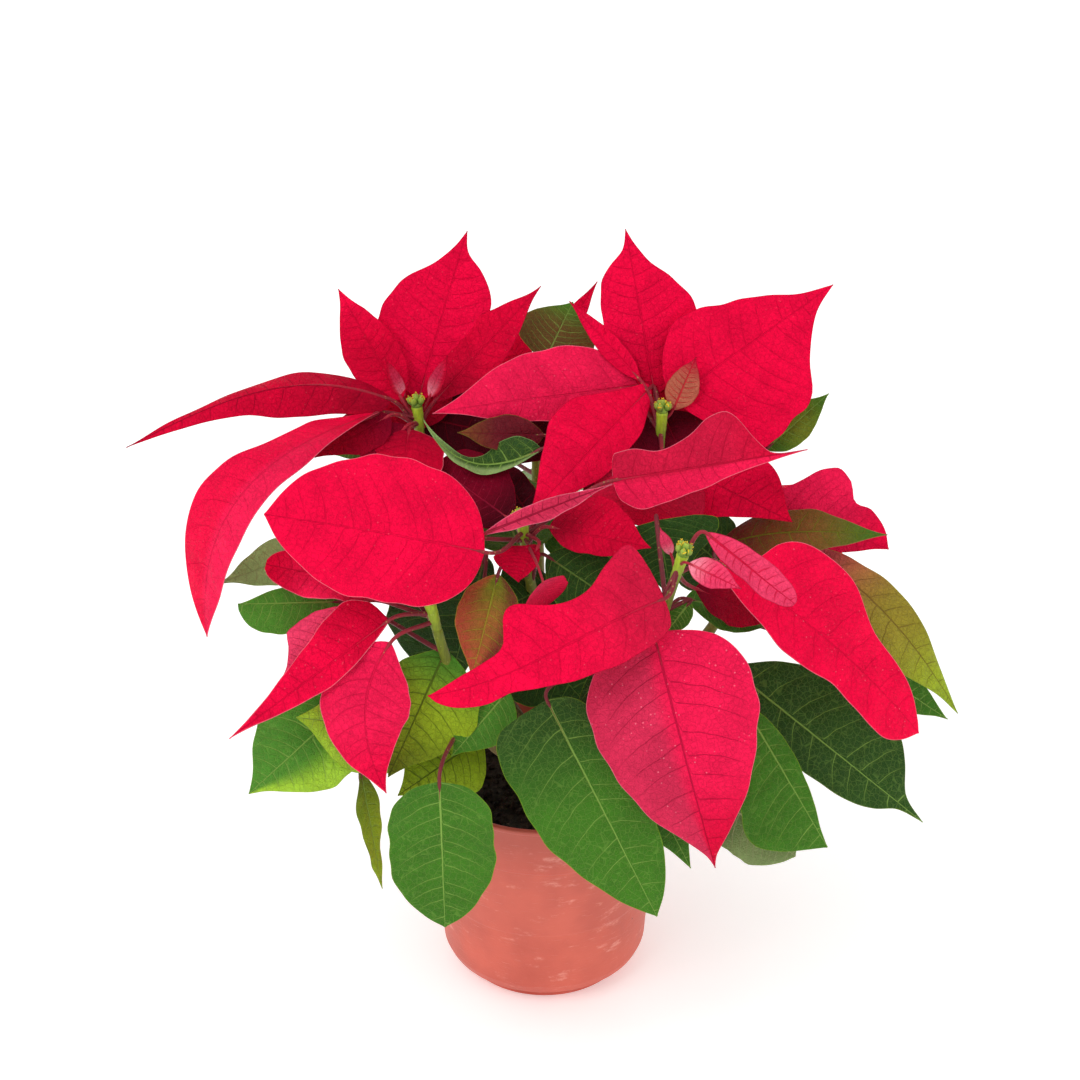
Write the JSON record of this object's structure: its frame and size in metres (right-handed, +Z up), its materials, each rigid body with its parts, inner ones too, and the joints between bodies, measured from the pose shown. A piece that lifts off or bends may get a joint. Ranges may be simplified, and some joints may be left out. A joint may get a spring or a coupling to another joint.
{
  "type": "potted poinsettia",
  "caption": "Potted poinsettia: broad pointed red bracts around small yellow-green buds above green leaves, in a round tapered terracotta-coloured plastic nursery pot.",
  "frame": {"origin": "centre of the pot's flat base, on the surface that the pot stands on", "axes": "+Z up; -Y is the front, the side where most of the leaves and blooms face; +X to the right as seen from the front"},
  "size_m": [0.4269, 0.3257, 0.3932],
  "materials": {
    "pot_plastic": "satin terracotta-coloured polypropylene with pale scuffs",
    "potting_mix": "matte, nearly black peat and bark crumbs",
    "wood": "matte brown-green bark",
    "green_leaf": "soft satin leaf with paler veins",
    "red_bract": "velvety satin bract with darker veins and a thin pale edge",
    "bud": "soft satin yellow-green bud"
  },
  "bodies": {
    "root": {"pot": "pot_plastic", "soil": "potting_mix", "trunk": "wood", "leafy_stem_A": "green_leaf", "bracts_A": "red_bract", "cyathia_A": "bud", "leafy_stem_B": "green_leaf", "bracts_B": "red_bract", "cyathia_B": "bud", "leafy_stem_C": "green_leaf", "bracts_C": "red_bract", "cyathia_C": "bud", "leafy_stem_D": "green_leaf", "bracts_D": "red_bract", "cyathia_D": "bud", "leafy_stem_E": "green_leaf", "bracts_E": "red_bract", "cyathia_E": "bud", "leafy_stem_F": "green_leaf", "bracts_F": "red_bract", "cyathia_F": "bud", "leafy_stem_G": "green_leaf", "bracts_G": "red_bract", "cyathia_G": "bud"}
  },
  "joints": []
}
